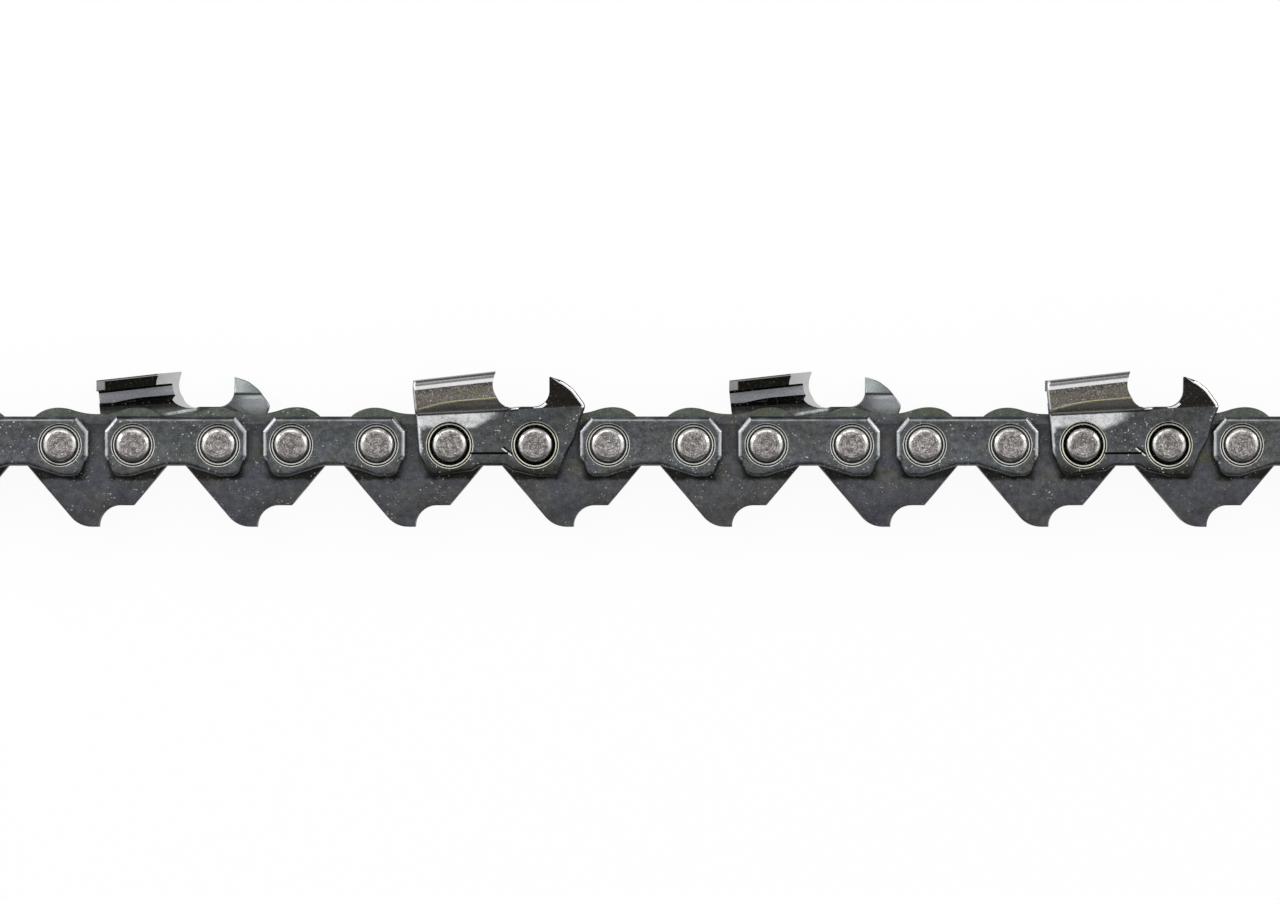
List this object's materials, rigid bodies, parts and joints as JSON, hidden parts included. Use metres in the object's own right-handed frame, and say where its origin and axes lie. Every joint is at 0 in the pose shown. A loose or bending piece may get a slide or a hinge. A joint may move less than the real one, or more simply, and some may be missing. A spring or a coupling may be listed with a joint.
{
  "type": "chainsaw chain",
  "caption": "Straight length of riveted saw chain: hooked drive links between paired side plates, with right- and left-hand cutters in turn.",
  "frame": {"origin": "middle of the chain's length, on the line through all the rivet centres, midway between the two rows of side plates", "axes": "+X along the chain in its travel direction, +Y to the cutting side, +Z along the rivets towards the right-hand side plates"},
  "size_m": [0.189, 0.0187, 0.0074],
  "materials": {
    "drive_link_steel": "dark oiled, fine speckle",
    "tie_strap_steel": "dark blued, bright rolled edges",
    "cutter_steel": "dark blued body, grainy hard chrome on the tooth",
    "rivet_steel": "bright with worn brown speckle"
  },
  "bodies": {
    "drive_link_01": {"drive_link_01": "drive_link_steel"},
    "plate_pair_1": {"right_tie_strap_01": "tie_strap_steel", "left_tie_strap_01": "tie_strap_steel", "rivet_01": "rivet_steel", "rivet_02": "rivet_steel"},
    "drive_link_02": {"drive_link_02": "drive_link_steel"},
    "plate_pair_2": {"right_tie_strap_02": "tie_strap_steel", "left_cutter_01": "cutter_steel", "rivet_03": "rivet_steel", "rivet_04": "rivet_steel"},
    "drive_link_03": {"drive_link_03": "drive_link_steel"},
    "plate_pair_3": {"right_tie_strap_03": "tie_strap_steel", "left_tie_strap_02": "tie_strap_steel", "rivet_05": "rivet_steel", "rivet_06": "rivet_steel"},
    "drive_link_04": {"drive_link_04": "drive_link_steel"},
    "plate_pair_4": {"right_cutter_01": "cutter_steel", "left_tie_strap_03": "tie_strap_steel", "rivet_07": "rivet_steel", "rivet_08": "rivet_steel"},
    "drive_link_05": {"drive_link_05": "drive_link_steel"},
    "plate_pair_5": {"right_tie_strap_04": "tie_strap_steel", "left_tie_strap_04": "tie_strap_steel", "rivet_09": "rivet_steel", "rivet_10": "rivet_steel"},
    "drive_link_06": {"drive_link_06": "drive_link_steel"},
    "plate_pair_6": {"right_tie_strap_05": "tie_strap_steel", "left_cutter_02": "cutter_steel", "rivet_11": "rivet_steel", "rivet_12": "rivet_steel"},
    "drive_link_07": {"drive_link_07": "drive_link_steel"},
    "plate_pair_7": {"right_tie_strap_06": "tie_strap_steel", "left_tie_strap_05": "tie_strap_steel", "rivet_13": "rivet_steel", "rivet_14": "rivet_steel"},
    "drive_link_08": {"drive_link_08": "drive_link_steel"},
    "plate_pair_8": {"right_cutter_02": "cutter_steel", "left_tie_strap_06": "tie_strap_steel", "rivet_15": "rivet_steel", "rivet_16": "rivet_steel"},
    "drive_link_09": {"drive_link_09": "drive_link_steel"},
    "plate_pair_9": {"right_tie_strap_07": "tie_strap_steel", "left_tie_strap_07": "tie_strap_steel", "rivet_17": "rivet_steel", "rivet_18": "rivet_steel"},
    "drive_link_10": {"drive_link_10": "drive_link_steel"}
  },
  "joints": [
    {"name": "rivet_10_pivot", "type": "hinge", "parent": "plate_pair_5", "child": "drive_link_06", "pos_m": [0.00514, 0, 0], "axis": [0, 0, 1], "range_deg": [-30, 15]},
    {"name": "rivet_11_pivot", "type": "hinge", "parent": "drive_link_06", "child": "plate_pair_6", "pos_m": [0.01391, 0, 0], "axis": [0, 0, 1], "range_deg": [-30, 15]},
    {"name": "rivet_12_pivot", "type": "hinge", "parent": "plate_pair_6", "child": "drive_link_07", "pos_m": [0.02419, 0, 0], "axis": [0, 0, 1], "range_deg": [-30, 3]},
    {"name": "rivet_13_pivot", "type": "hinge", "parent": "drive_link_07", "child": "plate_pair_7", "pos_m": [0.03296, 0, 0], "axis": [0, 0, 1], "range_deg": [-30, 15]},
    {"name": "rivet_14_pivot", "type": "hinge", "parent": "plate_pair_7", "child": "drive_link_08", "pos_m": [0.04324, 0, 0], "axis": [0, 0, 1], "range_deg": [-30, 15]},
    {"name": "rivet_15_pivot", "type": "hinge", "parent": "drive_link_08", "child": "plate_pair_8", "pos_m": [0.05201, 0, 0], "axis": [0, 0, 1], "range_deg": [-30, 15]},
    {"name": "rivet_16_pivot", "type": "hinge", "parent": "plate_pair_8", "child": "drive_link_09", "pos_m": [0.06229, 0, 0], "axis": [0, 0, 1], "range_deg": [-30, 3]},
    {"name": "rivet_17_pivot", "type": "hinge", "parent": "drive_link_09", "child": "plate_pair_9", "pos_m": [0.07106, 0, 0], "axis": [0, 0, 1], "range_deg": [-30, 15]},
    {"name": "rivet_18_pivot", "type": "hinge", "parent": "plate_pair_9", "child": "drive_link_10", "pos_m": [0.08134, 0, 0], "axis": [0, 0, 1], "range_deg": [-30, 15]},
    {"name": "rivet_09_pivot", "type": "hinge", "parent": "plate_pair_5", "child": "drive_link_05", "pos_m": [-0.00514, 0, 0], "axis": [0, 0, 1], "range_deg": [-15, 30]},
    {"name": "rivet_08_pivot", "type": "hinge", "parent": "drive_link_05", "child": "plate_pair_4", "pos_m": [-0.01391, 0, 0], "axis": [0, 0, 1], "range_deg": [-3, 30]},
    {"name": "rivet_07_pivot", "type": "hinge", "parent": "plate_pair_4", "child": "drive_link_04", "pos_m": [-0.02419, 0, 0], "axis": [0, 0, 1], "range_deg": [-15, 30]},
    {"name": "rivet_06_pivot", "type": "hinge", "parent": "drive_link_04", "child": "plate_pair_3", "pos_m": [-0.03296, 0, 0], "axis": [0, 0, 1], "range_deg": [-15, 30]},
    {"name": "rivet_05_pivot", "type": "hinge", "parent": "plate_pair_3", "child": "drive_link_03", "pos_m": [-0.04324, 0, 0], "axis": [0, 0, 1], "range_deg": [-15, 30]},
    {"name": "rivet_04_pivot", "type": "hinge", "parent": "drive_link_03", "child": "plate_pair_2", "pos_m": [-0.05201, 0, 0], "axis": [0, 0, 1], "range_deg": [-3, 30]},
    {"name": "rivet_03_pivot", "type": "hinge", "parent": "plate_pair_2", "child": "drive_link_02", "pos_m": [-0.06229, 0, 0], "axis": [0, 0, 1], "range_deg": [-15, 30]},
    {"name": "rivet_02_pivot", "type": "hinge", "parent": "drive_link_02", "child": "plate_pair_1", "pos_m": [-0.07106, 0, 0], "axis": [0, 0, 1], "range_deg": [-15, 30]},
    {"name": "rivet_01_pivot", "type": "hinge", "parent": "plate_pair_1", "child": "drive_link_01", "pos_m": [-0.08134, 0, 0], "axis": [0, 0, 1], "range_deg": [-15, 30]}
  ]
}
